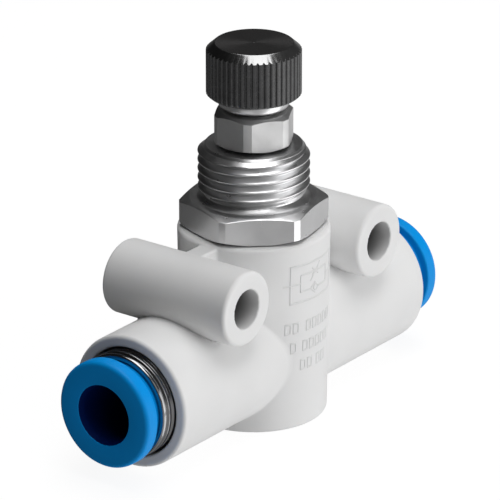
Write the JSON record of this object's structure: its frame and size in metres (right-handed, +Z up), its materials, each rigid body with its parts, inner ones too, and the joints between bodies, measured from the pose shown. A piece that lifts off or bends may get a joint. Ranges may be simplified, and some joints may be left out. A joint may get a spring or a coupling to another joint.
{
  "type": "flow control valve",
  "caption": "In-line one-way pneumatic flow control valve with push-in tube ports, knurled adjusting knob, lock nut and two cross-drilled fixing bosses.",
  "frame": {"origin": "middle of the flat underside of the housing, on the spindle's axis", "axes": "+X along the flow axis from the left port to the right port, +Y along the fixing holes, +Z up the adjusting spindle"},
  "size_m": [0.0524, 0.0164, 0.0416],
  "materials": {
    "white_plastic": "fine satin moulding, white",
    "nickel": "bright nickel plate over turned brass",
    "black_anodised": "black anodised, straight knurl, turned top face",
    "blue_plastic": "satin acetal, blue",
    "stainless": "stamped stainless",
    "brass": "turned",
    "rubber": "black nitrile, matt",
    "natural_plastic": "natural acetal"
  },
  "bodies": {
    "valve_body": {"housing": "white_plastic", "bonnet": "nickel", "bonnet_o_ring": "rubber", "check_lip_seal": "rubber", "valve_seat": "brass", "left_retaining_sleeve": "nickel", "left_grab_ring": "stainless", "left_support_ring": "natural_plastic", "left_tube_seal": "rubber", "right_retaining_sleeve": "nickel", "right_grab_ring": "stainless", "right_support_ring": "natural_plastic", "right_tube_seal": "rubber"},
    "spindle_carrier": {"spindle_o_ring": "rubber"},
    "adjuster": {"spindle": "nickel", "knob_hub": "nickel", "knob": "black_anodised"},
    "lock_nut_body": {"lock_nut": "nickel"},
    "left_release": {"left_release_ring": "blue_plastic"},
    "right_release": {"right_release_ring": "blue_plastic"}
  },
  "joints": [
    {"name": "spindle_travel", "type": "slide", "parent": "valve_body", "child": "spindle_carrier", "axis": [0, 0, 1], "range_m": [0, 0.004]},
    {"name": "knob_turn", "type": "hinge", "parent": "spindle_carrier", "child": "adjuster", "pos_m": [0, 0, 0.036], "axis": [0, 0, 1], "range_deg": [0, 2880]},
    {"name": "lock_nut_turn", "type": "hinge", "parent": "valve_body", "child": "lock_nut_body", "pos_m": [0, 0, 0.0323], "axis": [0, 0, 1], "range_deg": [0, 210]},
    {"name": "left_release_press", "type": "slide", "parent": "valve_body", "child": "left_release", "axis": [1, 0, 0], "range_m": [0, 0.0008], "stiffness_N_per_m": 500},
    {"name": "right_release_press", "type": "slide", "parent": "valve_body", "child": "right_release", "axis": [-1, 0, 0], "range_m": [0, 0.0008], "stiffness_N_per_m": 500}
  ],
  "couplings": [
    {"joint": "knob_turn", "follows": "spindle_travel", "rad_per_m": 12566}
  ]
}
